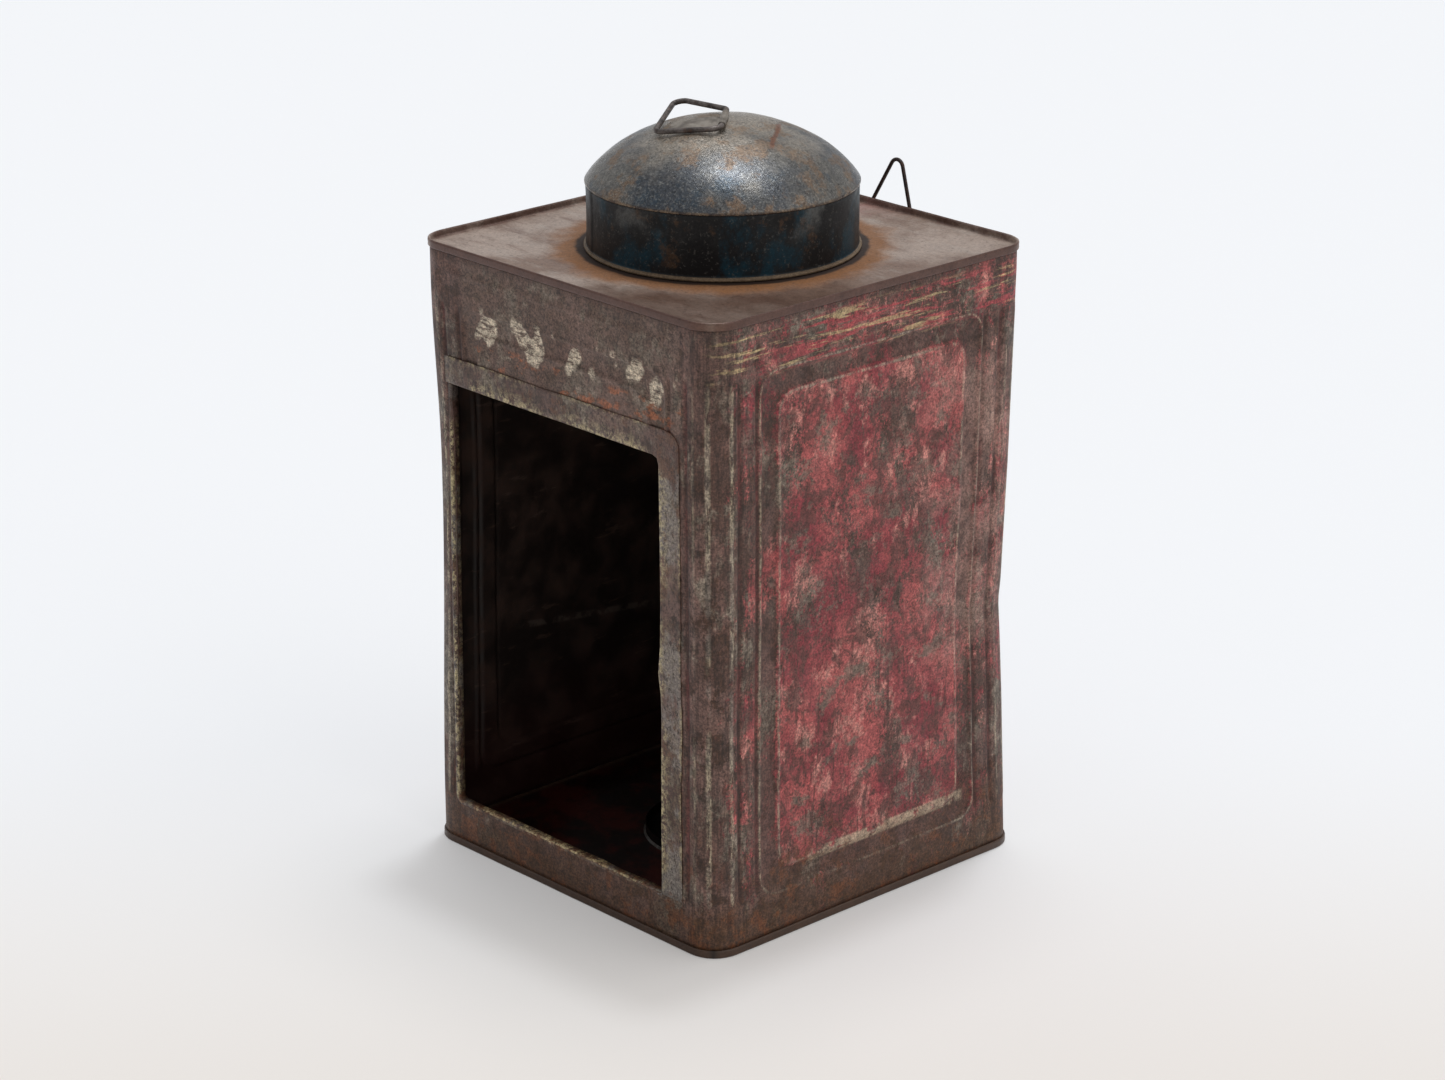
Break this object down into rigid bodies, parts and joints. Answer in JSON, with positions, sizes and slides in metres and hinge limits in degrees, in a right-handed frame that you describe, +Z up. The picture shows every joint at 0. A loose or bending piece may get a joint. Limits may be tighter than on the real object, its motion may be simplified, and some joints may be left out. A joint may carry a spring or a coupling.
{
  "type": "candle lantern",
  "caption": "Square tin-can candle lantern with a doorway in one wall, a domed lift-off cap over a smoke hole, a wire lifting ring and a rear hanging loop.",
  "frame": {"origin": "middle of the tin's footprint, on the surface it stands on", "axes": "+Z up; the doorway is in the -Y wall and the hanging loop is on the +Y wall"},
  "size_m": [0.2384, 0.2432, 0.4274],
  "materials": {
    "worn_red_tin": "worn",
    "rusty_tin": "worn",
    "blue_cap": "worn gloss",
    "bare_tin": "dull",
    "wire": "dull",
    "solder": "dull"
  },
  "bodies": {
    "tin": {"body_wrap": "worn_red_tin", "top_end": "rusty_tin", "bottom_end": "rusty_tin", "smoke_collar": "bare_tin", "collar_solder": "solder", "drip_pan": "bare_tin", "pan_solder": "solder", "candle_socket": "bare_tin", "socket_solder": "solder", "hanger_strap": "bare_tin"},
    "cap": {"cap_dome": "blue_cap", "cap_band": "blue_cap", "cap_bead_wire": "wire", "ring_strap": "bare_tin"},
    "ring": {"ring_handle": "wire"},
    "loop": {"hanger_loop": "wire"}
  },
  "joints": [
    {"name": "cap_lift", "type": "slide", "parent": "tin", "child": "cap", "axis": [0, 0, 1], "range_m": [0, 0.06]},
    {"name": "ring_swing", "type": "hinge", "parent": "cap", "child": "ring", "pos_m": [0.00836, -0.00682, 0.42438], "axis": [-0.6464, 0.7568, 0.0975], "range_deg": [0, 190]},
    {"name": "loop_swing", "type": "hinge", "parent": "tin", "child": "loop", "pos_m": [0.00735, 0.11955, 0.337], "axis": [-1, 0, 0], "range_deg": [0, 170]}
  ]
}
